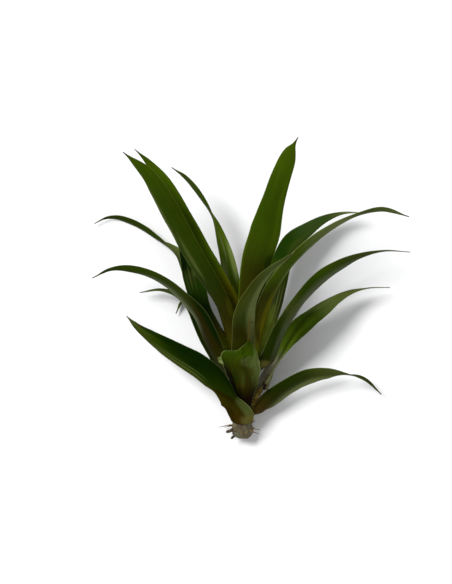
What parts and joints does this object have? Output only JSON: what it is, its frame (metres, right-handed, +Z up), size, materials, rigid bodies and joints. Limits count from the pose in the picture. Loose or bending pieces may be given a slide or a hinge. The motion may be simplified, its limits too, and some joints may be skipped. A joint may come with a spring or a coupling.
{
  "type": "vriesea plant",
  "caption": "Small bromeliad picked with its short stem and laid on its side, with long channelled leaves that arch outwards from sheaths wrapped round the stem.",
  "frame": {"origin": "middle of the plant's bounding box, on the surface that it lies on", "axes": "+X to the right as the picture shows it, +Y from the stem's foot to the leaf tips, +Z up from the surface"},
  "size_m": [0.2105, 0.1946, 0.0918],
  "materials": {
    "stem": "matt, fibrous, brown and grey-green",
    "leaf": "satin, waxy, finely ribbed green with pale margins"
  },
  "bodies": {
    "root": {"stem": "stem", "leaf_01": "leaf", "leaf_02": "leaf", "leaf_03": "leaf", "leaf_04": "leaf", "leaf_05": "leaf", "leaf_06": "leaf", "leaf_07": "leaf", "leaf_08": "leaf", "leaf_09": "leaf", "leaf_10": "leaf", "leaf_11": "leaf", "leaf_12": "leaf", "leaf_13": "leaf", "leaf_14": "leaf", "leaf_15": "leaf", "leaf_16": "leaf", "leaf_17": "leaf", "leaf_18": "leaf", "leaf_19": "leaf"}
  },
  "joints": []
}
